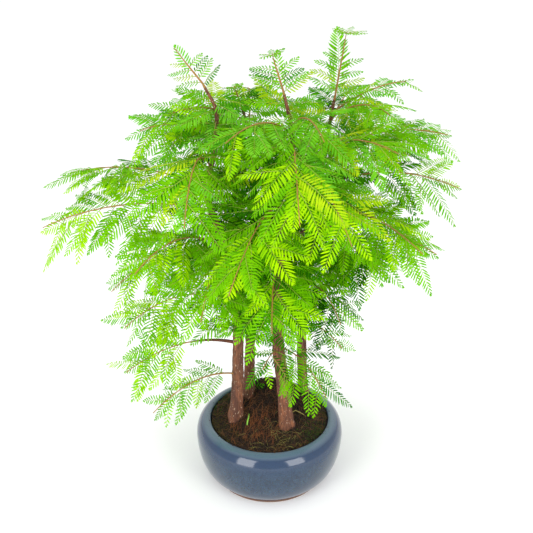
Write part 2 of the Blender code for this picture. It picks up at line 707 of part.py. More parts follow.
def main():
    for ob in list(bpy.data.objects):
        bpy.data.objects.remove(ob, do_unlink=True)
    parts = bpy.data.collections.new("dawn_redwood_forest")
    guides = bpy.data.collections.new("cutters")
    bpy.context.scene.collection.children.link(parts)
    bpy.context.scene.collection.children.link(guides)
    bark = principled("bark", rgb(122, 84, 66), 0.85)
    twig = principled("bough_bark", rgb(134, 86, 58), 0.8)
    needles = principled("needles", rgb(112, 196, 32), 0.55)

    trunks = {trunk.name: trunk for trunk in TRUNKS}
    occupied = Occupied()
    clear, sockets = make_trunks(parts, guides, bark, occupied)
    make_pot(parts)
    make_soil(parts, sockets)

    # Every limb comes before the first spray, so that no spray grows through one
    branches = [(branch, make_branch(branch, trunks, clear, parts, (twig, needles), occupied))
                for branch in BRANCHES]
    leaders = [(leader, *make_leader(leader, trunks, parts, needles, occupied)) for leader in LEADERS]
    for leader, stem, base in leaders:
        fuse_mass(stem, grow_leader(leader, base, occupied, stem.name))
    for branch, stem in branches:
        fuse_mass(stem, grow_branch(branch, trunks, occupied, stem.name))


main()
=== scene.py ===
"""Looks of a dawn redwood bonsai forest in a glazed bowl: bark, boughs, twigs and fine needles grown
on from the trunks by the same rule as the solids, moss and root fibres on the soil, and the glaze.
Sizes are in millimetres and angles in degrees unless a comment says metres.
+Z is up and the front looks along -Y."""

from collections import namedtuple
from math import cos, exp, pi, radians, sin
from random import Random

import bmesh
import bpy
import numpy as np
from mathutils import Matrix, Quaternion, Vector, noise


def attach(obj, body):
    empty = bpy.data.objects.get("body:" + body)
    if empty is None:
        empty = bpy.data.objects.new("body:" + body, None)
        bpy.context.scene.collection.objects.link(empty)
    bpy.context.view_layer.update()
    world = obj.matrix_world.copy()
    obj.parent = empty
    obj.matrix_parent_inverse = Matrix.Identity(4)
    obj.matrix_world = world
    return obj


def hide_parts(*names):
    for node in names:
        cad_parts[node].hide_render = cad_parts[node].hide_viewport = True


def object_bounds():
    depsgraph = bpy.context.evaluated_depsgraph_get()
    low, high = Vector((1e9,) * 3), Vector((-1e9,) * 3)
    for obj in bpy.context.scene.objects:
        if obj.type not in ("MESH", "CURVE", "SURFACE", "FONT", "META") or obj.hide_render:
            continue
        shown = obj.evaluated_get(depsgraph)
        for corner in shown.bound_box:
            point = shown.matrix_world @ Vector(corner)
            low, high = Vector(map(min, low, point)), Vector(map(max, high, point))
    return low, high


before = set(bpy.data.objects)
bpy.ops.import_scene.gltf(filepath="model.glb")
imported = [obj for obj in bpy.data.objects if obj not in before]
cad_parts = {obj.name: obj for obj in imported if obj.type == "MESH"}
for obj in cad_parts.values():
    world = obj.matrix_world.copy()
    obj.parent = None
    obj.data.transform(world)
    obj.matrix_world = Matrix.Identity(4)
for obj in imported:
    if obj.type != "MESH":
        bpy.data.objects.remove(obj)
CAD_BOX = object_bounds()

bl_info = {
    "name": "Dawn Redwood Bonsai Forest",
    "version": (1, 0, 0),
    "blender": (4, 5, 0),
    "location": "View3D > Sidebar > Redwood Forest",
    "description": "Builds a planting of dawn redwoods in a glazed bowl",
    "category": "Add Mesh",
}

MM = 0.001
UP = Vector((0.0, 0.0, 1.0))
FRONT = Vector((0.0, -1.0, 0.0))
SEED = 41

# Bowl
POT_RADIUS = 100.0
BELLY_HEIGHT = 66.0
FOOT_RADIUS = 75.5
FOOT_HEIGHT = 7.5
FOOT_STEP = 1.0
MOUTH_RADIUS = 80.0
RIM_TOP = 88.5
WALL = 6.0
FLOOR = 9.0
DISC_START = 0.5
LIP_STEPS = ((0.2, 0.9), (0.8, 1.9), (1.8, 2.7))

# Soil
SOIL_EDGE = 84.5
MOUND_RISE = 33.0
MOUND_CENTRE = (0.0, 34.0)
MOUND_SPREAD = 45.0
SOIL_SEAT = 0.6
SOIL_CLEARANCE = 0.9
SOIL_RINGS = 60
SOIL_SEGMENTS = 150

# Moss: centre and spread of each bed, and its kind
MOSS_BEDS = (((62, -42), 13.0, "green"), ((24, -66), 15.0, "olive"), ((-78, -14), 12.0, "olive"),
             ((-74, 26), 12.0, "green"), ((-62, -44), 12.0, "olive"), ((74, 2), 10.0, "olive"),
             ((70, -28), 9.0, "green"), ((20, 60), 26.0, "olive"))
RUST_BED = ((-22.0, -46.0), 21.0)
DRY_BED = ((12.0, -56.0), 18.0)
DRY_COUNT = 46
CRUMB_COUNT = 70
SPRIG_FOOT = (-24, 28)

# Limbs
TRUNK_SINK = 6.0
TOP_RADIUS = 1.6
TAPER_POWER = 0.85
ROOT_FLARE = 0.4
FLARE_HEIGHT = 10.0
FLARE_LOBES = 3
TRUNK_RINGS = 300
TRUNK_SIDES = 44
BOUGH_ROOT_RADIUS = 2.6
BOUGH_TIP_RADIUS = 1.15
STEM_ROOT_RADIUS = 1.2
STEM_TIP_RADIUS = 0.55
TWIG_RADIUS = 0.5
BRANCH_SWING = 9

Trunk = namedtuple("Trunk", "name radius bends")
TRUNKS = (
    Trunk("front_left", 8.6, ((-46, -14, 97), (-42, -14, 160), (-42, -15, 275), (-57, -16, 355),
                              (-75, -16, 425), (-64, -14, 478), (-62, -12, 523), (-74, -10, 549))),
    Trunk("back_left", 7.2, ((-28, 20, 109), (-27, 30, 155), (-25, 36, 218), (-23, 42, 298),
                             (-20, 48, 400), (-23, 50, 467), (-33, 50, 505))),
    Trunk("front_centre", 9.2, ((22, -30, 97), (18, -28, 155), (12, -28, 208), (9, -30, 288),
                                (16, -28, 367), (26, -22, 448), (25, -18, 502), (16, -15, 542))),
    Trunk("back_right", 7.0, ((48, 46, 95), (45, 52, 160), (46, 52, 221), (53, 48, 317),
                              (63, 42, 406), (73, 36, 497), (77, 35, 522))),
)
TRUNK_OF = {trunk.name: trunk for trunk in TRUNKS}

# height: where the branch leaves its trunk. heading: degrees from +X seen from above, 270 is the front.
# reach and rise: how far out and up the tip lies. arch: how far the middle bows up. roll: how far the
# sprays' faces turn to the front. bare: the share that is a bough. spray: length of the side sprays
Branch = namedtuple("Branch", "name trunk height heading reach rise arch roll bare spray")
BRANCHES = [Branch(*row) for row in (
    ("left_lowest", "front_left", 165, 203, 118, -30, 22, 20, 0.0, 54),
    ("left_low", "front_left", 213, 188, 146, -32, 20, 25, 0.40, 70),
    ("left_middle", "front_left", 275, 195, 143, -18, 24, 25, 0.22, 74),
    ("left_wide", "front_left", 400, 184, 202, -16, 22, 35, 0.22, 86),
    ("left_upper", "front_left", 430, 160, 190, -8, 18, -10, 0.25, 80),
    ("left_front", "front_left", 350, 228, 142, 18, 28, 15, 0.0, 76),
    ("front_left_high", "front_left", 455, 262, 145, -15, 38, 0, 0.0, 82),
    ("front_left_low", "front_left", 330, 255, 108, -25, 28, 0, 0.0, 74),
    ("top_left", "front_left", 488, 178, 88, 10, 12, 30, 0.0, 68),
    ("left_inner", "back_left", 330, 184, 187, -66, 30, 15, 0.50, 76),
    ("back_left_low", "back_left", 290, 150, 165, -30, 26, -15, 0.0, 76),
    ("back_left_middle", "back_left", 370, 118, 190, -15, 28, 0, 0.25, 84),
    ("back_left_high", "back_left", 440, 135, 165, 10, 20, -10, 0.0, 80),
    ("back_top", "back_left", 480, 92, 130, 15, 18, 0, 0.0, 74),
    ("top_inner_left", "back_left", 490, 212, 110, 25, 14, 20, 0.0, 70),
    ("front_low_left", "front_centre", 400, 247, 165, -30, 42, 0, 0.25, 86),
    ("front_high", "front_centre", 475, 271, 165, -20, 42, 0, 0.25, 86),
    ("front_right_high", "front_centre", 435, 294, 150, -15, 36, 0, 0.0, 82),
    ("front_low", "front_centre", 330, 265, 112, -28, 28, 0, 0.0, 76),
    ("front_right_lowest", "front_centre", 215, 310, 90, -30, 14, 10, 0.0, 62),
    ("front_lowest", "front_centre", 205, 250, 60, 12, 12, 0, 0.0, 48),
    ("right_front_high", "front_centre", 470, 333, 128, 24, 18, 20, 0.0, 76),
    ("right_long", "front_centre", 368, 353, 184, -10, 24, 25, 0.25, 76),
    ("top_front_left", "front_centre", 495, 228, 110, 18, 20, 15, 0.0, 76),
    ("top_front_right", "front_centre", 505, 290, 95, 12, 18, 10, 0.0, 70),
    ("right_wide", "back_right", 408, 353, 172, 6, 20, 15, 0.28, 74),
    ("right_high", "back_right", 455, 2, 150, 20, 16, 20, 0.0, 74),
    ("right_top", "back_right", 505, 8, 90, 36, 8, 15, 0.0, 54),
    ("right_low", "back_right", 265, 300, 84, -20, 16, 10, 0.0, 64),
    ("right_lowest", "back_right", 205, 337, 58, -28, 10, 15, 0.0, 48),
    ("front_right_middle", "back_right", 365, 310, 180, 14, 28, 10, 0.0, 82),
    ("right_middle", "back_right", 315, 315, 120, 10, 22, 15, 0.0, 76),
    ("top_right_front", "back_right", 498, 318, 85, 22, 14, 10, 0.0, 66),
    ("back_low", "back_right", 300, 98, 178, -20, 24, 0, 0.0, 80),
    ("back_right_middle", "back_right", 370, 72, 186, -12, 26, -10, 0.25, 84),
    ("back_right_low", "back_right", 275, 40, 155, -20, 22, -15, 0.0, 76),
    ("back_right_high", "back_right", 440, 38, 165, 0, 20, -15, 0.0, 80),
    ("back_top_right", "back_right", 490, 65, 110, 22, 14, 0, 0.0, 70),
    ("back_lowest", "back_right", 220, 85, 120, -30, 18, 0, 0.0, 66),
)]

# feather: length of the upright spray that ends the leader. sides: pairs of sprays below it.
# whorl: pairs of short sprays round its tip
Leader = namedtuple("Leader", "trunk tip feather feather_half sides side_length whorl whorl_length")
LEADERS = (
    Leader("front_left", (-107, -10, 594), 30, 10, 4, 38, 0, 0),
    Leader("back_left", (-43, 50, 534), 24, 9, 4, 48, 3, 11),
    Leader("front_centre", (2, -12, 588), 42, 11, 4, 46, 3, 16),
    Leader("back_right", (88, 30, 603), 70, 17, 4, 44, 4, 24),
)

# Needles. A station: its share of the length and of the width, and its lift as a share of the length
NEEDLE_GAP = 3.3
NEEDLE_SHARE = 0.235
NEEDLE_LONGEST = 17.5
NEEDLE_HALF_WIDTH = 1.12
NEEDLE_KEEL = 0.28
NEEDLE_LEAN = 66
LEAN_CLOSES = 34
NEEDLE_STATIONS = ((0.30, 1.0, 0.02), (0.75, 0.85, -0.03))
NEEDLE_TIP_DROP = -0.10
NEEDLE_FACES = np.array(((0, 2, 1), (0, 3, 2), (1, 2, 5), (1, 5, 4),
                         (2, 3, 6), (2, 6, 5), (4, 5, 7), (5, 6, 7)))
SWELL_AT = (0.0, 0.25, 0.65, 0.85, 1.0)
SWELL = (0.6, 1.0, 0.92, 0.66, 0.28)
MOST_FACES = 190000

# Sprays
SHORTEST_SPRAY = 8
SPRAY_CUT = 0.92
SPRAY_BEND = 0.20
BOX_MARGIN = 3
SIDE_GAP = 7.0
SIDES_FROM = 0.16
SIDES_TO = 0.86
END_ROOT = 0.72
END_LEAST = 0.62
FORKS_TO = 0.70
FORK_PLACE = 0.36
FORK_LENGTH = 0.66
FILLERS_PER_TRUNK = 104
FILLERS_FROM = 235
FILLER_TURN = 137.5

# Tints: the two greens that each mixes, as display levels
TINTS = {"deep": ((34, 102, 0), (20, 76, 0)), "green": ((72, 150, 0), (48, 120, 0)),
         "lime": ((122, 192, 0), (92, 166, 0)), "yellow": ((166, 216, 0), (130, 196, 0)),
         "mint": ((118, 194, 40), (92, 172, 26)), "gold": ((180, 204, 20), (150, 194, 12))}

# The painted light below which a spray has each tint: the darker tints are painted shade and the paler ones
# painted light. Beyond the last it is yellow or lime
TINT_LIMITS = (("deep", -0.02), ("green", 0.34), ("lime", 0.80))
CROWN_REACH = 190.0
CROWN_MIDDLE = 300.0
CROWN_RISE = 250.0
# Below the first height the outer sprays get extra painted light; above the next, some top sprays take mint,
# a painted sheen
OUTER_LIGHT_BELOW = 330
MINT_SHEEN_ABOVE = 470
GOLD_ABOVE = 440

# Stage, in metres but for the lens and sensor. Each light: place, share of the power, width and height
LIGHTS = (("softbox_left", (-0.62, -0.92, 0.50), 1.5, (0.5, 0.95)),
          ("softbox_right", (0.70, -0.90, 0.50), 1.2, (0.5, 0.8)),
          ("top_light", (0.0, 0.1, 1.9), 1.6, (0.9, 0.9)))
LIGHTS_AIM = Vector((0.0, 0.0, 0.2))
FLOOR_WIDTH = 12.0
CAMERA_PLACE = (-0.004, -1.015, 0.825)
CAMERA_PITCH = 26.6
CAMERA_LENS = 60.8
CAMERA_SENSOR = 36.0


# Meshes

def deselect():
    if bpy.context.object and bpy.context.object.mode != "OBJECT":
        bpy.ops.object.mode_set(mode="OBJECT")
    bpy.ops.object.select_all(action="DESELECT")


def mesh_piece(name, points, triangles, material):
    """A smooth piece from arrays: points in metres and triangles of their numbers."""
    mesh = bpy.data.meshes.new(name)
    count = len(triangles)
    mesh.vertices.add(len(points))
    mesh.vertices.foreach_set("co", np.asarray(points, np.float32).ravel())
    mesh.loops.add(3 * count)
    mesh.loops.foreach_set("vertex_index", np.asarray(triangles, np.int32).ravel())
    mesh.polygons.add(count)
    mesh.polygons.foreach_set("loop_start", np.arange(0, 3 * count, 3, dtype=np.int32))
    mesh.update(calc_edges=True)
    mesh.validate()
    mesh.shade_smooth()
    mesh.materials.append(material)
    ob = bpy.data.objects.new(name, mesh)
    bpy.context.scene.collection.objects.link(ob)
    return ob


class Heap:
    """Many small shapes of one kind, gathered into one mesh."""

    def __init__(self):
        self.points = []
        self.triangles = []
        self.size = 0

    def add(self, points, triangles):
        self.points.append(points)
        self.triangles.append(triangles + self.size)
        self.size += len(points)

    def arrays(self):
        return np.concatenate(self.points) * MM, np.concatenate(self.triangles)

    def piece(self, name, material):
        return mesh_piece(name, *self.arrays(), material)


def unit_rows(rows):
    """Each row at length one."""
    return rows / np.linalg.norm(rows, axis=1)[:, None]


def square_to(rows, axes):
    """Each row without its part along its axis."""
    return rows - axes * (rows * axes).sum(1)[:, None]


def tube(points, radii, sides):
    """A closed limb through points, as points and triangles, ring by ring from its foot."""
    points = np.asarray(points, float)
    ahead = unit_rows(np.gradient(points, axis=0))
    guide = (0.0, 1.0, 0.0) if abs(ahead[0][2]) > 0.7 else (0.0, 0.0, 1.0)
    side = unit_rows(np.cross(ahead, guide))
    face = np.cross(side, ahead)
    turn = np.arange(sides) * 2 * pi / sides
    radii = np.asarray(radii, float)[:, None, None]
    spread = side[:, None, :] * np.cos(turn)[None, :, None] + face[:, None, :] * np.sin(turn)[None, :, None]
    rings = points[:, None, :] + spread * radii
    corners = np.concatenate([rings.reshape(-1, 3), points[:1], points[-1:]])
    count = len(points)
    here = np.arange(sides)
    after = (here + 1) % sides
    faces = []
    for k in range(count - 1):
        low, high = k * sides, (k + 1) * sides
        faces.append(np.stack([low + here, high + after, low + after], 1))
        faces.append(np.stack([low + here, high + here, high + after], 1))
    first, last = count * sides, count * sides + 1
    top = (count - 1) * sides
    faces.append(np.stack([here, after, np.full(sides, first)], 1))
    faces.append(np.stack([top + after, top + here, np.full(sides, last)], 1))
    return corners, np.concatenate(faces)


def arc(start, end, bulge, count):
    """Points from start to end along a quarter of an ellipse. bulge +1 leaves along the radius."""
    points = []
    for i in range(1, count + 1):
        a = 0.5 * pi * i / count
        across, down = (sin(a), 1 - cos(a)) if bulge > 0 else (1 - cos(a), sin(a))
        points.append((start[0] + (end[0] - start[0]) * across, start[1] + (end[1] - start[1]) * down))
    return points


def turned_piece(name, profile, segments, material):
    """A round body: a small disc is drawn out ring by ring along the profile."""
    deselect()
    radius, height = profile[0]
    bpy.ops.mesh.primitive_circle_add(vertices=segments, radius=radius * MM, fill_type="NGON",
                                      location=(0, 0, height * MM))
    ob = bpy.context.object
    bpy.ops.object.transform_apply(location=True, rotation=True, scale=True)
    bpy.ops.object.mode_set(mode="EDIT")
    bpy.ops.mesh.select_all(action="SELECT")
    for before, after in zip(profile, profile[1:]):
        bpy.ops.mesh.extrude_region_move(
            TRANSFORM_OT_translate={"value": (0, 0, (after[1] - before[1]) * MM)})
        grow = after[0] / before[0]
        bpy.ops.transform.resize(value=(grow, grow, 1), center_override=(0, 0, after[1] * MM))
    bpy.ops.object.mode_set(mode="OBJECT")
    bm = bmesh.new()
    bm.from_mesh(ob.data)
    bmesh.ops.remove_doubles(bm, verts=bm.verts, dist=1e-6)
    bmesh.ops.recalc_face_normals(bm, faces=bm.faces)
    bm.to_mesh(ob.data)
    bm.free()
    ob.name = name
    ob.data.name = name
    ob.data.shade_smooth()
    ob.data.materials.append(material)
    return ob


def finish_piece(ob, slot, *nodes):
    """The piece's body and the solids it replaces. The slot argument is not used."""
    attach(ob, "root")
    if nodes:
        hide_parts(*nodes)


# Materials. Their heights and depths are in metres

# Heights over which the glaze darkens towards the shoulder: a painted dark reflection, not a glaze colour
PAINTED_REFLECTION_BAND = (0.058, 0.082)
CREST_BAND = (0.0835, 0.0885)
CLAY_LINE = (0.0042, 0.0024)


def rgb(*levels):
    """Colour from 0-255 display levels, as linear values."""
    return [(v / 255 / 12.92) if v <= 10 else ((v / 255 + 0.055) / 1.055) ** 2.4 for v in levels] + [1.0]


def put(node, **values):
    """Sets a node's inputs. An underscore in a name stands for a space."""
    for name, value in values.items():
        node.inputs[name.replace("_", " ")].default_value = value


def mottle_group():
    """Soft patches, fine grain and dark specks, read from the place on the piece."""
    group = bpy.data.node_groups.new("mottle", "ShaderNodeTree")
    for name, kind in (("Vector", "NodeSocketVector"), ("Scale", "NodeSocketFloat"),
                       ("Stretch", "NodeSocketFloat")):
        group.interface.new_socket(name=name, in_out="INPUT", socket_type=kind)
    for name in ("Patches", "Grain", "Specks"):
        group.interface.new_socket(name=name, in_out="OUTPUT", socket_type="NodeSocketFloat")
    nodes, links = group.nodes, group.links
    inside = nodes.new("NodeGroupInput")
    outside = nodes.new("NodeGroupOutput")
    scaled = nodes.new("ShaderNodeVectorMath")
    scaled.operation = "SCALE"
    links.new(inside.outputs["Vector"], scaled.inputs[0])
    links.new(inside.outputs["Scale"], scaled.inputs["Scale"])
    parts = nodes.new("ShaderNodeSeparateXYZ")
    joined = nodes.new("ShaderNodeCombineXYZ")
    squash = nodes.new("ShaderNodeMath")
    squash.operation = "MULTIPLY"
    links.new(scaled.outputs[0], parts.inputs[0])
    for axis in "XY":
        links.new(parts.outputs[axis], joined.inputs[axis])
    links.new(parts.outputs["Z"], squash.inputs[0])
    links.new(inside.outputs["Stretch"], squash.inputs[1])
    links.new(squash.outputs[0], joined.inputs["Z"])
    for name, scale, detail, low, high in (("Patches", 1.0, 3.0, 0.35, 0.65), ("Grain", 6.0, 6.0, 0.3, 0.7),
                                           ("Specks", 9.0, 1.0, 0.68, 0.74)):
        pattern = nodes.new("ShaderNodeTexNoise")
        put(pattern, Scale=scale, Detail=detail)
        spread = nodes.new("ShaderNodeMapRange")
        put(spread, From_Min=low, From_Max=high)
        links.new(joined.outputs[0], pattern.inputs["Vector"])
        links.new(pattern.outputs[0], spread.inputs["Value"])
        links.new(spread.outputs["Result"], outside.inputs[name])
    return group


def link(material, start, end):
    material.node_tree.links.new(start, end)


def start_material(name, scale, stretch, roughness):
    """A material with its shader and a placed mottle group."""
    material = bpy.data.materials.new(name)
    material.use_nodes = True
    nodes = material.node_tree.nodes
    shader = nodes["Principled BSDF"]
    put(shader, Roughness=roughness)
    place = nodes.new("ShaderNodeTexCoord")
    group = nodes.new("ShaderNodeGroup")
    group.node_tree = bpy.data.node_groups.get("mottle") or mottle_group()
    put(group, Scale=scale, Stretch=stretch)
    link(material, place.outputs["Object"], group.inputs["Vector"])
    return material, shader, group


def height_of(material):
    """The height of each place on the piece."""
    place = material.node_tree.nodes.new("ShaderNodeTexCoord")
    parts = material.node_tree.nodes.new("ShaderNodeSeparateXYZ")
    link(material, place.outputs["Object"], parts.inputs[0])
    return parts.outputs["Z"]


def blend(material, factor, first, second):
    """Mix two colours, or a socket and a colour, by a socket."""
    mix = material.node_tree.nodes.new("ShaderNodeMix")
    mix.data_type = "RGBA"
    link(material, factor, mix.inputs["Factor"])
    for value, socket in ((first, mix.inputs["A"]), (second, mix.inputs["B"])):
        if isinstance(value, list):
            socket.default_value = value
        else:
            link(material, value, socket)
    return mix.outputs["Result"]


def step_of(material, value, low, high):
    """0 to 1 as the value goes from low to high."""
    spread = material.node_tree.nodes.new("ShaderNodeMapRange")
    put(spread, From_Min=low, From_Max=high)
    link(material, value, spread.inputs["Value"])
    return spread.outputs["Result"]


def relief(material, shader, height, strength, distance):
    bump = material.node_tree.nodes.new("ShaderNodeBump")
    put(bump, Strength=strength, Distance=distance)
    link(material, height, bump.inputs["Height"])
    link(material, bump.outputs[0], shader.inputs["Normal"])


def glaze_material(glaze):
    """Speckled glaze, darkened from the belly up over the shoulder as a painted dark reflection, pale on the
    crest, over a bare clay foot.
    """
    material, shader, group = start_material("speckled_glaze", 120.0, 1.0, 0.1)
    put(shader, Coat_Weight=0.25, Coat_Roughness=0.1)
    height = height_of(material)
    foot = step_of(material, height, *CLAY_LINE)
    body = blend(material, group.outputs["Patches"], glaze, rgb(50, 76, 100))
    body = blend(material, group.outputs["Grain"], body, rgb(6, 18, 40))
    # Painted dark reflection: the shoulder darkened as if it mirrored a dark room
    body = blend(material, step_of(material, height, *PAINTED_REFLECTION_BAND), body, rgb(22, 48, 78))
    body = blend(material, step_of(material, height, *CREST_BAND), body, rgb(92, 112, 128))
    body = blend(material, group.outputs["Specks"], body, rgb(20, 26, 34))
    body = blend(material, foot, body, rgb(104, 72, 52))
    link(material, body, shader.inputs["Base Color"])
    link(material, step_of(material, foot, -0.13, 1.1), shader.inputs["Roughness"])
    relief(material, shader, group.outputs["Patches"], 0.08, 0.0003)
    return material


def bark_material(name, first, second, flake, scale):
    """Upright patches of two browns with dark fissures and pale flakes."""
    material, shader, group = start_material(name, scale, 0.22, 0.85)
    body = blend(material, group.outputs["Patches"], first, second)
    body = blend(material, group.outputs["Grain"], body, rgb(70, 40, 28))
    body = blend(material, group.outputs["Specks"], body, flake)
    link(material, body, shader.inputs["Base Color"])
    relief(material, shader, group.outputs["Grain"], 0.7, 0.0012)
    return material


def grained_material(name, first, second, scale, roughness, strength=0.4):
    """Two colours in a fine rough grain."""
    material, shader, group = start_material(name, scale, 1.0, roughness)
    link(material, blend(material, group.outputs["Grain"], first, second), shader.inputs["Base Color"])
    relief(material, shader, group.outputs["Grain"], strength, 0.0008)
    return material


def needle_material(name, colour, shade):
    """Thin leaf: light passes partly through, so the sprays glow against the light."""
    material, shader, group = start_material(name, 40.0, 1.0, 0.6)
    put(shader, Specular_IOR_Level=0.06)
    nodes = material.node_tree.nodes
    through = nodes.new("ShaderNodeBsdfTranslucent")
    mixed = nodes.new("ShaderNodeMixShader")
    mixed.inputs[0].default_value = 0.26
    body = blend(material, group.outputs["Patches"], colour, shade)
    link(material, body, shader.inputs["Base Color"])
    link(material, body, through.inputs["Color"])
    link(material, shader.outputs[0], mixed.inputs[1])
    link(material, through.outputs[0], mixed.inputs[2])
    link(material, mixed.outputs[0], nodes["Material Output"].inputs["Surface"])
    return material


# The rule of the trunks, branches and soil, as in the solids

def axis_at(trunk, height):
    """Centre of the trunk at a height: a smooth curve through its bends."""
    bends = trunk.bends
    for i in range(len(bends) - 1):
        if height <= bends[i + 1][2] or i == len(bends) - 2:
            break
    before, low, high = bends[max(i - 1, 0)], bends[i], bends[i + 1]
    after = bends[min(i + 2, len(bends) - 1)]
    span = high[2] - low[2]
    t = (height - low[2]) / span
    point = []
    for k in (0, 1):
        slope_low = (high[k] - before[k]) / max(high[2] - before[2], 1) * span
        slope_high = (after[k] - low[k]) / max(after[2] - low[2], 1) * span
        point.append((2 * t**3 - 3 * t**2 + 1) * low[k] + (t**3 - 2 * t**2 + t) * slope_low
                     + (3 * t**2 - 2 * t**3) * high[k] + (t**3 - t**2) * slope_high)
    return Vector((point[0], point[1], height))


def trunk_radius(trunk, height):
    """Radius of the trunk at a height, without its root flare."""
    foot, top = trunk.bends[0][2], trunk.bends[-1][2]
    share = min(max((top - height) / (top - foot), 0.0), 1.0)
    return TOP_RADIUS + (trunk.radius - TOP_RADIUS) * share**TAPER_POWER


def heading_vector(degrees):
    return Vector((cos(radians(degrees)), sin(radians(degrees)), 0.0))


def branch_line(branch, share):
    """A point of the branch, from the trunk's axis at share 0 to the tip at 1."""
    root = axis_at(TRUNK_OF[branch.trunk], branch.height)
    swing = Random(SEED + branch.height + branch.heading).uniform(-BRANCH_SWING, BRANCH_SWING)
    flat = heading_vector(branch.heading + swing * (1 - share)) * branch.reach * share
    lift = branch.rise * share + branch.arch * 4 * share * (1 - share)
    return root + flat + UP * lift


def frond_axes(branch, share):
    """At a place on the branch: the way ahead, the sprays' sideways axis and their face."""
    root = branch_line(branch, share)
    ahead = (branch_line(branch, share + 0.02) - root).normalized()
    across = ahead.cross(UP).normalized()
    to_front = -1 if across.y > 0 else 1
    across = Quaternion(ahead, radians(to_front * branch.roll)) @ across
    return root, ahead, across, across.cross(ahead).normalized()


def ground(x, y):
    """Height of the soil at a place."""
    apart = (x - MOUND_CENTRE[0]) ** 2 + (y - MOUND_CENTRE[1]) ** 2
    rim_share = min(1.0, (x * x + y * y) / (MOUTH_RADIUS - SOIL_SEAT) ** 2)
    return SOIL_EDGE + MOUND_RISE * exp(-apart / (2 * MOUND_SPREAD**2)) * (1 - rim_share**3)


def crumbly_ground(x, y):
    """Height of the soil with its crumbs."""
    coarse = noise.noise((x * 0.16, y * 0.16, 3.0))
    fine = noise.noise((x * 0.55, y * 0.55, 8.0))
    return ground(x, y) + (1.6 * coarse + 1.1 * fine)


# Needles and sprays

def needle_block(roots, along, side, face, lengths, widths):
    """Flat keeled needles, eight triangles each, at many places at once."""
    count = len(roots)
    corners = np.zeros((count, 8, 3))
    corners[:, 0] = roots
    slot = 1
    for share, wide, lift in NEEDLE_STATIONS:
        middle = roots + along * (lengths * share)[:, None] + face * (lengths * lift)[:, None]
        offset = side * (widths * wide)[:, None]
        corners[:, slot] = middle - offset
        corners[:, slot + 1] = middle - face * (widths * NEEDLE_KEEL)[:, None]
        corners[:, slot + 2] = middle + offset
        slot += 3
    corners[:, 7] = roots + along * lengths[:, None] + face * (lengths * NEEDLE_TIP_DROP)[:, None]
    triangles = NEEDLE_FACES[None] + (np.arange(count) * 8)[:, None, None]
    return corners.reshape(-1, 3), triangles.reshape(-1, 3)


def needle_ranks(root, axes, length, sag, bend, reach, bare, rng):
    """Places, axes and lengths of a spray's needles: two ranks that lean in and shorten to its tip."""
    straight, face, side, up = axes
    count = max(int(length * (1 - bare) / NEEDLE_GAP), 4)
    t = bare + (1 - bare) * (np.arange(count) + 0.5) / count
    t = np.repeat(t, 2) + np.tile([0.0, 0.35 / count], count)
    hand = np.tile([-1.0, 1.0], count)
    base = np.array(root) + straight * (length * t)[:, None] - up * (sag * length * t**2)[:, None]
    base += side * (bend * length * t**2)[:, None]
    ahead = unit_rows(straight - up * (2 * sag * t)[:, None] + side * (2 * bend * t)[:, None])
    lean = np.radians(NEEDLE_LEAN - LEAN_CLOSES * t**2 + rng.normal(0, 4, len(t)))
    out = unit_rows(square_to(side * hand[:, None], ahead))
    along = ahead * np.cos(lean)[:, None] + out * np.sin(lean)[:, None]
    along = unit_rows(along - face * rng.uniform(0.02, 0.24, len(t))[:, None])
    flat = face - along * (along @ face)[:, None]
    flat = unit_rows(square_to(flat + rng.normal(0, 0.16, (len(t), 3)), along))
    lengths = reach * np.interp(t, SWELL_AT, SWELL) * rng.uniform(0.9, 1.08, len(t))
    return base, along, np.cross(along, flat), flat, lengths


def tip_tuft(tip, axes, sag, reach):
    """Three short needles that close a spray's tip."""
    straight, face, side, up = axes
    along = unit_rows(np.array([straight + side * turn - up * sag for turn in (-0.35, 0.35, 0.0)]))
    return needle_block(np.repeat(tip[None], 3, 0), along, np.cross(along, face), np.repeat(face[None], 3, 0),
                        np.full(3, 0.30 * reach), np.full(3, 0.45))


def within(point):
    """True for a place inside the solids' own box."""
    low, high = CAD_BOX
    return all(low[k] / MM + BOX_MARGIN < point[k] < high[k] / MM - BOX_MARGIN for k in range(3))


class Crown:
    """Gathers the needles by tint, the twigs and the stems."""

    def __init__(self, needle_scale):
        self.needles = {tint: Heap() for tint in TINTS}
        self.twigs = Heap()
        self.stems = Heap()
        self.scale = needle_scale

    def spray(self, root, along, face, length, sag, tint, chance, half=0.0, bare=0.05):
        """One branchlet: a fine bent twig with two flat ranks of needles, and a tuft at its tip."""
        along = along.normalized()
        while length > SHORTEST_SPRAY and not within(root + along * length - UP * sag * length):
            length *= SPRAY_CUT
        face = (face - along * face.dot(along)).normalized()
        bend = chance.uniform(-SPRAY_BEND, SPRAY_BEND)
        across = along.cross(face)
        knots = []
        for t in (k / 5 for k in range(6)):
            knots.append(root + along * length * t - UP * sag * length * t**2 + across * bend * length * t**2)
        radii = [TWIG_RADIUS * (1 - 0.7 * k / 5) for k in range(6)]
        self.twigs.add(*tube([tuple(p) for p in knots], radii, 3))
        axes = [np.array(axis) for axis in (along, face, across, UP)]
        reach = half if half else min(NEEDLE_SHARE * length + 1.5, NEEDLE_LONGEST)
        rng = np.random.default_rng(chance.randrange(1 << 30))
        *places, lengths = needle_ranks(root, axes, length, sag, bend, reach, bare, rng)
        lengths = lengths * self.scale
        widths = NEEDLE_HALF_WIDTH * (0.55 + 0.45 * lengths / 15.0)
        self.needles[tint].add(*needle_block(*places, lengths, widths))
        self.needles[tint].add(*tip_tuft(np.array(knots[-1]), axes, sag, reach))


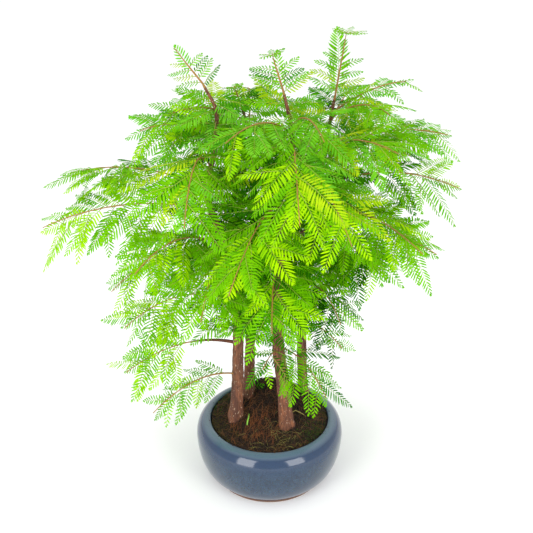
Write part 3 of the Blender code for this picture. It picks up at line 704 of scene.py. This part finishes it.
def tint_for(point, chance):
    """Colour by place, as painted light and shade: deep inside and low behind as painted shade, minty on top
    as a painted sheen, yellow-green at the outside as painted light, with some random tone.
    """
    out = Vector((point.x, point.y * 0.8, 0.0)).length / CROWN_REACH
    front = -point.y / CROWN_REACH
    height = (point.z - CROWN_MIDDLE) / CROWN_RISE
    # Painted light and shade: sprays further out, to the front and higher get paler tints, and inner, back
    # and low ones darker; fresh is extra painted light on the low outer sprays
    fresh = 0.35 * out if point.z < OUTER_LIGHT_BELOW else 0.0
    light = 0.60 * out + 0.40 * front + 0.22 * height + fresh + chance.gauss(0, 0.25)
    # Mint on top is a painted sheen
    if point.z > MINT_SHEEN_ABOVE and chance.random() < 0.34:
        return "mint"
    if point.z > GOLD_ABOVE and chance.random() < 0.10:
        return "gold"
    for tint, limit in TINT_LIMITS:
        if light < limit:
            return tint
    return "yellow" if chance.random() < 0.6 else "lime"


def grow_branch(branch, crown, boughs):
    """The branch's bough and stem, and its sprays, alternate and shorter towards the tip."""
    chance = Random(SEED * 7 + branch.height * 3 + branch.heading)
    if branch.bare:
        bare_line = [tuple(branch_line(branch, branch.bare * k / 8)) for k in range(9)]
        root_radius = min(BOUGH_ROOT_RADIUS, 0.5 * trunk_radius(TRUNK_OF[branch.trunk], branch.height))
        radii = [root_radius + (BOUGH_TIP_RADIUS - root_radius) * k / 8 for k in range(9)]
        boughs.add(*tube(bare_line, radii, 8))
    shares = [i / 16 for i in range(17)]
    line = [branch_line(branch, share) for share in shares]
    radii = [STEM_ROOT_RADIUS + (STEM_TIP_RADIUS - STEM_ROOT_RADIUS) * share**0.7 for share in shares]
    crown.stems.add(*tube([tuple(p) for p in line], radii, 6))
    root, _, _, face = frond_axes(branch, END_ROOT)
    along = branch_line(branch, 1.0) - root
    end = max(along.length, END_LEAST * branch.spray)
    crown.spray(root, along, face, end, 0.05, tint_for(root, chance), chance)
    first = branch.bare + 0.05 if branch.bare else SIDES_FROM
    stem_length = sum((b - a).length for a, b in zip(line, line[1:]))
    count = max(int(stem_length * (SIDES_TO - first) / SIDE_GAP), 5)
    for k in range(count):
        share = first + (SIDES_TO - first) * k / (count - 1)
        hand = 1 if (k + branch.height) % 2 else -1
        grow_side(branch, crown, chance, share, hand, forked=k % 3 > 0)


def grow_side(branch, crown, chance, share, hand, forked):
    """A side spray, and on the longer ones a second spray that forks off it."""
    root, ahead, across, face = frond_axes(branch, share)
    most_hang = 0.12 + 0.34 * abs(heading_vector(branch.heading).y)
    angle = radians(chance.uniform(42, 68) - 14 * share)
    along = ahead * cos(angle) + across * hand * sin(angle)
    along += face * chance.uniform(-0.28, 0.30)
    along.z -= chance.uniform(0.0, most_hang)
    length = branch.spray * (1.08 - 0.42 * share) * chance.uniform(0.70, 1.08)
    tint = tint_for(root + along.normalized() * 0.6 * length, chance)
    tilt = Quaternion(along.normalized(), radians(chance.uniform(-34, 34)))
    crown.spray(root, along, tilt @ face, length, chance.uniform(0.08, 0.34), tint, chance)
    if forked and share < FORKS_TO and length > 50:
        place = root + along.normalized() * length * FORK_PLACE
        turn = Quaternion(face, radians(-hand * chance.uniform(30, 46)))
        fork = turn @ along.normalized()
        crown.spray(place, fork, tilt @ face, FORK_LENGTH * length, 0.14, tint, chance)


def grow_fillers(trunk, crown):
    """Short shoots that stand straight on the trunk, all the way up through the crown."""
    chance = Random(SEED * 13 + int(trunk.radius * 10))
    top = trunk.bends[-1][2]
    lit = UP + FRONT * 0.6
    for k in range(FILLERS_PER_TRUNK):
        share = ((k + chance.random()) / FILLERS_PER_TRUNK) ** 0.85
        height = FILLERS_FROM + (top - FILLERS_FROM - 5) * share
        out = heading_vector(k * FILLER_TURN + chance.uniform(-20, 20))
        root = axis_at(trunk, height)
        along = out + UP * chance.uniform(-0.15, 0.55)
        length = chance.uniform(52, 84) * (1 - 0.30 * max(height - 400, 0) / 150)
        face = (lit - along * lit.dot(along)).normalized()
        tint = tint_for(root + out * 0.6 * length, chance)
        crown.spray(root, along, face, length, chance.uniform(0.10, 0.3), tint, chance, bare=0.18)


def grow_leader(leader, crown):
    """An upright spray at the leader's tip, sprays below it and a whorl of short ones round the tip."""
    chance = Random(SEED * 11 + leader.feather)
    trunk = TRUNK_OF[leader.trunk]
    top = axis_at(trunk, trunk.bends[-1][2])
    below = axis_at(trunk, top.z - 5.0)
    ahead = (top - below).normalized()
    tip = Vector(leader.tip)
    line = [below, top, top + ahead * 5.0, top.lerp(tip, 0.5) + ahead * 1.5, tip]
    crown.stems.add(*tube([tuple(p) for p in line], [TOP_RADIUS, TOP_RADIUS, 1.2, 0.9, 0.4], 6))
    up = (tip - top).normalized()
    across = up.cross(FRONT).normalized()
    foot = tip - up * leader.feather
    # Mint at a leader's tip is painted sheen, as on the other top sprays; lime is the pale tint the painted
    # light gives the top
    tint = "lime" if leader.whorl else "mint"
    crown.spray(foot, up, FRONT, leader.feather, 0.0, tint, chance, half=leader.feather_half, bare=0.0)
    for k in range(leader.sides * 2):
        root = top.lerp(tip, 0.06 + 0.30 * k / leader.sides)
        turn = radians(180 * k + chance.uniform(-42, 42))
        along = across * cos(turn) + FRONT * sin(turn) * 0.8 + UP * 0.45
        length = leader.side_length * chance.uniform(0.8, 1.0) * (1 - 0.05 * k)
        crown.spray(root, along, UP + FRONT * 0.5, length, 0.1, tint_for(root, chance), chance)
    for k in range(leader.whorl * 2):
        turn = pi * (k + 0.5) / leader.whorl
        along = across * cos(turn) + FRONT * sin(turn) + UP * 0.35
        crown.spray(tip - up * 2.0, along, UP, leader.whorl_length, 0.15, "lime", chance, half=7.0)


# Sizes and colours that a user would change

class PotSettings(bpy.types.PropertyGroup):
    glaze: bpy.props.FloatVectorProperty(
        name="Glaze", description="Main colour of the glaze", subtype="COLOR", size=4,
        default=rgb(36, 60, 84), min=0.0, max=1.0)
    segments: bpy.props.IntProperty(
        name="Segments", description="Sides of the turned bowl", default=112, min=32, max=256)


class PlantSettings(bpy.types.PropertyGroup):
    needle_scale: bpy.props.FloatProperty(
        name="Needle Length", description="Length of the needles against their usual one",
        default=1.0, min=0.5, max=1.5, subtype="FACTOR")
    bark_depth: bpy.props.FloatProperty(
        name="Bark Depth", description="Depth of the bark's furrows", default=0.00075,
        min=0.0, max=0.003, unit="LENGTH")
    fibres: bpy.props.IntProperty(
        name="Fibres", description="Root fibres that lie on the soil", default=2600, min=0, max=6000)
    moss: bpy.props.IntProperty(
        name="Moss", description="Moss leaves on the soil", default=5200, min=0, max=20000)


class StageSettings(bpy.types.PropertyGroup):
    softbox: bpy.props.FloatProperty(
        name="Softbox Power", description="Power of each soft light", default=5.2, min=0.0, max=100.0)
    sky: bpy.props.FloatProperty(
        name="Room Light", description="Strength of the pale surroundings", default=1.04, min=0.0, max=4.0)


# The pieces

class FOREST_OT_pot(bpy.types.Operator):
    """Glazed bowl with a rolled-in shoulder, a soft lip and a bare clay foot"""
    bl_idname = "forest.pot"
    bl_label = "Bowl"

    def execute(self, context):
        settings = context.scene.forest_pot
        glaze = glaze_material(list(settings.glaze))
        pot = turned_piece("glazed_bowl", self.profile(), settings.segments, glaze)
        finish_piece(pot, "blue_glaze", "pot")
        return {"FINISHED"}

    def profile(self):
        """From the middle of the floor up the inside, over the lip and down to the underside."""
        mouth = (MOUTH_RADIUS, RIM_TOP - 0.5 * WALL)
        crest = (MOUTH_RADIUS + 0.55 * WALL, RIM_TOP)
        belly = (POT_RADIUS, BELLY_HEIGHT)
        inner_belly = (POT_RADIUS - WALL, BELLY_HEIGHT)
        floor_edge = (FOOT_RADIUS - WALL, FLOOR)
        foot_top = (FOOT_RADIUS - FOOT_STEP, FOOT_HEIGHT)
        inside = [(DISC_START, FLOOR), floor_edge]
        inside += arc(floor_edge, inner_belly, 1, 8) + arc(inner_belly, mouth, -1, 10)
        lip = [(mouth[0] + out, mouth[1] + up) for out, up in LIP_STEPS]
        side = [crest, *arc(crest, belly, 1, 16), *arc(belly, foot_top, -1, 18)]
        foot = [(FOOT_RADIUS - 0.8, FOOT_HEIGHT - 0.5), (FOOT_RADIUS, FOOT_HEIGHT - 1.4),
                (FOOT_RADIUS, 0.8), (FOOT_RADIUS - 0.6, 0.0), (DISC_START, 0.0)]
        return inside + lip + side + foot


class FOREST_OT_trunks(bpy.types.Operator):
    """The four trunks, with furrowed bark and flared feet"""
    bl_idname = "forest.trunks"
    bl_label = "Trunks"

    def execute(self, context):
        depth = context.scene.forest_plant.bark_depth
        bark = bark_material("furrowed_bark", rgb(152, 94, 60), rgb(86, 50, 34), rgb(190, 164, 138), 95.0)
        for trunk in TRUNKS:
            corners, triangles = self.furrowed(trunk, depth)
            ob = mesh_piece("bark_" + trunk.name, corners * MM, triangles, bark)
            finish_piece(ob, "bark", "trunk_" + trunk.name)
        return {"FINISHED"}

    def furrowed(self, trunk, depth):
        """The trunk with its skin moved in and out: furrows, plates, slow swells and the root flare."""
        foot, top = trunk.bends[0][2] - TRUNK_SINK, trunk.bends[-1][2]
        heights = [foot + (top - foot) * k / (TRUNK_RINGS - 1) for k in range(TRUNK_RINGS)]
        line = [tuple(axis_at(trunk, h)) for h in heights]
        corners, triangles = tube(line, [trunk_radius(trunk, h) for h in heights], TRUNK_SIDES)
        skin = TRUNK_RINGS * TRUNK_SIDES
        out = corners[:skin] - np.repeat(np.array(line), TRUNK_SIDES, 0)
        radius = np.linalg.norm(out, axis=1)
        out = unit_rows(out)
        phase = SEED + trunk.radius
        for k in range(skin):
            x, y, z = corners[k]
            furrow = noise.noise((x * 0.55, y * 0.55, z * 0.05))
            flake = noise.noise((x * 0.30 + 9, y * 0.30, z * 0.12 + phase))
            edge = noise.noise((x * 0.9, y * 0.9, z * 0.22 + 40))
            plate = max(min((flake + 0.05) * 5.0, 1.0), 0.0)
            skin_lift = (abs(furrow) * 1.5 + 0.55 * plate + 0.35 * edge - 0.5) * depth / MM
            swell = 0.10 * radius[k] * noise.noise((x * 0.02, y * 0.02, z * 0.022 + phase))
            fade = exp(-max(z - foot - TRUNK_SINK, 0.0) / FLARE_HEIGHT)
            turn = np.arctan2(out[k][1], out[k][0])
            flare = radius[k] * ROOT_FLARE * fade * (0.6 + 0.4 * cos(FLARE_LOBES * turn + phase))
            slim = min(radius[k] / 6.0, 1.0)
            corners[k] += out[k] * (skin_lift * slim + swell + flare)
        return corners, triangles


class FOREST_OT_crown(bpy.types.Operator):
    """Boughs, twigs and needles, grown on from the trunks"""
    bl_idname = "forest.crown"
    bl_label = "Crown"

    def execute(self, context):
        crown = Crown(context.scene.forest_plant.needle_scale)
        boughs = Heap()
        for branch in BRANCHES:
            grow_branch(branch, crown, boughs)
        for trunk in TRUNKS:
            grow_fillers(trunk, crown)
        for leader in LEADERS:
            grow_leader(leader, crown)
        bark = bark_material("young_bark", rgb(136, 76, 48), rgb(104, 58, 42), rgb(150, 110, 84), 260.0)
        twig = grained_material("green_twig", rgb(132, 188, 36), rgb(158, 150, 52), 90.0, 0.6)
        stem = grained_material("young_stem", rgb(166, 98, 44), rgb(130, 116, 40), 110.0, 0.6)
        bough_nodes = ["bough_" + branch.name for branch in BRANCHES if branch.bare]
        finish_piece(boughs.piece("boughs", bark), "bough_bark", *bough_nodes)
        finish_piece(crown.twigs.piece("twigs", twig), "bough_bark")
        finish_piece(crown.stems.piece("stems", stem), "bough_bark")
        self.needle_pieces(crown)
        return {"FINISHED"}

    def needle_pieces(self, crown):
        """Needles of each tint, in as many pieces as keep each under MOST_FACES triangles."""
        masses = ["foliage_" + b.name for b in BRANCHES] + ["foliage_leader_" + k.trunk for k in LEADERS]
        for tint, heap in crown.needles.items():
            if not heap.size:
                continue
            material = needle_material("needles_" + tint, *(rgb(*green) for green in TINTS[tint]))
            points, triangles = heap.arrays()
            pieces = -(-len(triangles) // MOST_FACES)
            step = -(-len(triangles) // (8 * pieces)) * 8
            for k in range(pieces):
                part = triangles[k * step:(k + 1) * step]
                low = part.min()
                ob = mesh_piece(f"needles_{tint}_{k}", points[low:part.max() + 1], part - low, material)
                finish_piece(ob, "needles", *masses)
                masses = []


class FOREST_OT_soil(bpy.types.Operator):
    """Crumbly soil mound with root fibres, moss, crumbs and a few blades"""
    bl_idname = "forest.soil"
    bl_label = "Soil and Moss"

    def execute(self, context):
        settings = context.scene.forest_plant
        self.mound()
        self.fibres(settings.fibres)
        self.mosses(settings.moss)
        chance = Random(SEED + 8)
        self.sprig(chance)
        self.blades(chance)
        self.rim_crumbs(chance)
        return {"FINISHED"}

    def mound(self):
        earth = grained_material("moist_soil", rgb(50, 30, 16), rgb(12, 8, 4), 140.0, 0.95, 1.0)
        top = MOUTH_RADIUS - SOIL_CLEARANCE
        profile = [(DISC_START, FLOOR + 1), (60, FLOOR + 1), (POT_RADIUS - WALL - 2.5, BELLY_HEIGHT)]
        profile += [(top * (1 - k / SOIL_RINGS), SOIL_EDGE) for k in range(SOIL_RINGS)]
        ob = turned_piece("soil_mound", profile, SOIL_SEGMENTS, earth)
        for vertex in ob.data.vertices:
            if vertex.co.z > (SOIL_EDGE - 0.3) * MM:
                vertex.co.z = crumbly_ground(vertex.co.x / MM, vertex.co.y / MM) * MM
        finish_piece(ob, "soil", "soil")

    def on_soil(self, chance, centre=(0.0, 0.0), spread=0.0):
        """A place on the soil: anywhere, or near a centre."""
        while True:
            if spread:
                x, y = chance.gauss(centre[0], spread), chance.gauss(centre[1], spread)
            else:
                x, y = chance.uniform(-80, 80), chance.uniform(-80, 80)
            if x * x + y * y < (MOUTH_RADIUS - 2.5) ** 2:
                return x, y

    def strand(self, heap, chance, x, y, length, radius, heading, lift):
        """One bent fibre that lies on the soil and turns back at the rim."""
        line = []
        for t in (k / 5 for k in range(6)):
            heading += chance.uniform(-0.35, 0.35)
            line.append((x, y, crumbly_ground(x, y) + lift * (0.3 + sin(pi * t))))
            x += cos(heading) * length / 5
            y += sin(heading) * length / 5
            if x * x + y * y > (MOUTH_RADIUS - 1.5) ** 2:
                x *= 0.97
                y *= 0.97
                heading += 1.5
        heap.add(*tube(line, [radius * (1 - 0.5 * k / 5) for k in range(6)], 4))

    def fibres(self, count):
        """Dark and tan fibres all over, and rusty roots at the front left."""
        chance = Random(SEED + 5)
        dark, tan, rust = Heap(), Heap(), Heap()
        for k in range(count):
            x, y = self.on_soil(chance)
            heap = dark if k % 3 else tan
            self.strand(heap, chance, x, y, chance.uniform(7, 20), chance.uniform(0.2, 0.52),
                        chance.uniform(0, 2 * pi), chance.uniform(0.3, 3.2))
        for k in range(count // 24):
            x, y = self.on_soil(chance, *RUST_BED)
            self.strand(rust, chance, x, y, chance.uniform(14, 34), chance.uniform(0.28, 0.5),
                        chance.uniform(0.7, 2.0), chance.uniform(0.8, 3.0))
        for name, heap, first, second in (("dark_fibres", dark, rgb(50, 30, 16), rgb(24, 14, 8)),
                                          ("tan_fibres", tan, rgb(116, 78, 40), rgb(70, 44, 22)),
                                          ("rust_fibres", rust, rgb(150, 86, 42), rgb(96, 52, 24))):
            finish_piece(heap.piece(name, grained_material(name, first, second, 200.0, 0.8)), "soil")

    def mosses(self, count):
        """Tufts of small leaves: green at the front right and the left edge, olive elsewhere."""
        chance = Random(SEED + 6)
        heaps = {"green": Heap(), "olive": Heap()}
        for k in range(count):
            centre, spread, kind = MOSS_BEDS[k % len(MOSS_BEDS)]
            x, y = self.on_soil(chance, centre, spread)
            root = np.array([(x, y, crumbly_ground(x, y) - 0.2)])
            turn = chance.uniform(0, 2 * pi)
            along = unit_rows(np.array([(cos(turn), sin(turn), chance.uniform(0.2, 1.4))]))
            side = unit_rows(np.cross(along, (0.0, 0.0, 1.0)))
            length = np.array([chance.uniform(1.8, 4.2)])
            width = np.array([chance.uniform(0.3, 0.6)])
            heaps[kind].add(*needle_block(root, along, side, np.cross(side, along), length, width))
        for kind, first, second in (("green", rgb(76, 104, 18), rgb(40, 60, 10)),
                                    ("olive", rgb(90, 82, 26), rgb(50, 46, 14))):
            moss = grained_material(kind + "_moss", first, second, 150.0, 0.8)
            finish_piece(heaps[kind].piece(kind + "_moss", moss), "soil")

    def sprig(self, chance):
        """A small green spray that lies on the mound."""
        sprig = Crown(1.0)
        foot = Vector((*SPRIG_FOOT, ground(*SPRIG_FOOT) + 2.0))
        sprig.spray(foot, Vector((0.9, -0.3, 0.35)), Vector((0, -0.7, 1)), 17, 0.1, "lime", chance, half=7.5)
        green = needle_material("sprig_green", rgb(96, 184, 22), rgb(72, 156, 18))
        finish_piece(sprig.needles["lime"].piece("fallen_sprig", green), "needles")

    def blades(self, chance):
        """A green blade, two straw ones and bits of dry grass."""
        fresh, dry = Heap(), Heap()
        for heap, x, y, length, radius, heading, lift in ((fresh, -30, -32, 17, 1.2, 1.1, 5.0),
                                                          (dry, 26, -16, 24, 0.8, 0.5, 5.0),
                                                          (dry, 2, 64, 8, 0.8, 0.1, 3.0)):
            self.strand(heap, chance, x, y, length, radius, heading, lift)
        for _ in range(DRY_COUNT):
            x, y = self.on_soil(chance, *DRY_BED)
            self.strand(dry, chance, x, y, chance.uniform(8, 20), 0.22, chance.uniform(0, 2 * pi), 2.5)
        green = grained_material("green_blade", rgb(146, 204, 74), rgb(120, 180, 60), 90.0, 0.5)
        straw = grained_material("dry_grass", rgb(176, 168, 92), rgb(132, 116, 58), 90.0, 0.7)
        finish_piece(fresh.piece("green_blade", green), "needles")
        finish_piece(dry.piece("dry_blades", straw), "soil")

    def rim_crumbs(self, chance):
        """Crumbs of soil that lie on the lip."""
        heap = Heap()
        for _ in range(CRUMB_COUNT):
            turn = chance.uniform(0, 2 * pi)
            away = MOUTH_RADIUS + chance.uniform(-1.0, 3.5)
            x, y = cos(turn) * away, sin(turn) * away
            size = chance.uniform(0.3, 0.9)
            z = RIM_TOP - 0.2 - max(MOUTH_RADIUS + 2.0 - away, 0.0) * 0.6
            heap.add(*tube([(x - size, y, z + 0.2), (x, y + 0.2, z + 0.3), (x + size, y, z + 0.2)],
                           [0.3 * size, 0.8 * size, 0.3 * size], 5))
        crumb = grained_material("soil_crumbs", rgb(60, 38, 24), rgb(30, 20, 14), 200.0, 0.9)
        finish_piece(heap.piece("soil_crumbs", crumb), "soil")


class FOREST_OT_stage(bpy.types.Operator):
    """Pale floor, soft lights and the camera"""
    bl_idname = "forest.stage"
    bl_label = "Stage"

    def execute(self, context):
        settings = context.scene.forest_stage
        self.floor()
        self.room(context, settings.sky)
        for name, place, share, size in LIGHTS:
            self.light(context, name, place, settings.softbox * share, size)
        self.camera(context)
        context.scene.view_settings.view_transform = "Standard"
        return {"FINISHED"}

    def floor(self):
        deselect()
        bpy.ops.mesh.primitive_plane_add(size=FLOOR_WIDTH, location=(0, 0, 0))
        floor = bpy.context.object
        floor.name = "floor"
        paper = bpy.data.materials.new("white_paper")
        paper.use_nodes = True
        put(paper.node_tree.nodes["Principled BSDF"], Base_Color=(0.97, 0.97, 0.97, 1.0), Roughness=0.9)
        floor.data.materials.append(paper)

    def room(self, context, strength):
        world = bpy.data.worlds.new("room")
        world.use_nodes = True
        put(world.node_tree.nodes["Background"], Color=(1.0, 1.0, 1.0, 1.0), Strength=strength)
        context.scene.world = world

    def light(self, context, name, place, power, size):
        lamp = bpy.data.lights.new(name, "AREA")
        lamp.energy = power
        lamp.shape = "RECTANGLE"
        lamp.size, lamp.size_y = size
        ob = bpy.data.objects.new(name, lamp)
        ob.location = place
        ob.rotation_euler = (LIGHTS_AIM - Vector(place)).to_track_quat("-Z", "Y").to_euler()
        context.scene.collection.objects.link(ob)

    def camera(self, context):
        camera = bpy.data.cameras.new("camera")
        camera.sensor_width = CAMERA_SENSOR
        camera.lens = CAMERA_LENS
        ob = bpy.data.objects.new("camera", camera)
        ob.location = CAMERA_PLACE
        ob.rotation_euler = (radians(90 - CAMERA_PITCH), 0.0, 0.0)
        context.scene.collection.objects.link(ob)
        context.scene.camera = ob


class FOREST_PT_panel(bpy.types.Panel):
    """Lists the pieces and their settings"""
    bl_label = "Redwood Forest"
    bl_idname = "FOREST_PT_panel"
    bl_space_type = "VIEW_3D"
    bl_region_type = "UI"
    bl_category = "Redwood Forest"

    def draw(self, context):
        scene = context.scene
        for settings in (scene.forest_pot, scene.forest_plant, scene.forest_stage):
            for name in settings.__annotations__:
                self.layout.prop(settings, name)
        for operator in OPERATORS:
            self.layout.operator(operator.bl_idname)


OPERATORS = (FOREST_OT_pot, FOREST_OT_trunks, FOREST_OT_crown, FOREST_OT_soil, FOREST_OT_stage)
CLASSES = (PotSettings, PlantSettings, StageSettings, *OPERATORS, FOREST_PT_panel)


def register():
    for cls in CLASSES:
        bpy.utils.register_class(cls)
    bpy.types.Scene.forest_pot = bpy.props.PointerProperty(type=PotSettings)
    bpy.types.Scene.forest_plant = bpy.props.PointerProperty(type=PlantSettings)
    bpy.types.Scene.forest_stage = bpy.props.PointerProperty(type=StageSettings)


def unregister():
    del bpy.types.Scene.forest_pot
    del bpy.types.Scene.forest_plant
    del bpy.types.Scene.forest_stage
    for cls in reversed(CLASSES):
        bpy.utils.unregister_class(cls)


def main():
    register()
    bpy.ops.forest.pot()
    bpy.ops.forest.trunks()
    bpy.ops.forest.crown()
    bpy.ops.forest.soil()
    bpy.ops.forest.stage()


if __name__ == "__main__":
    main()
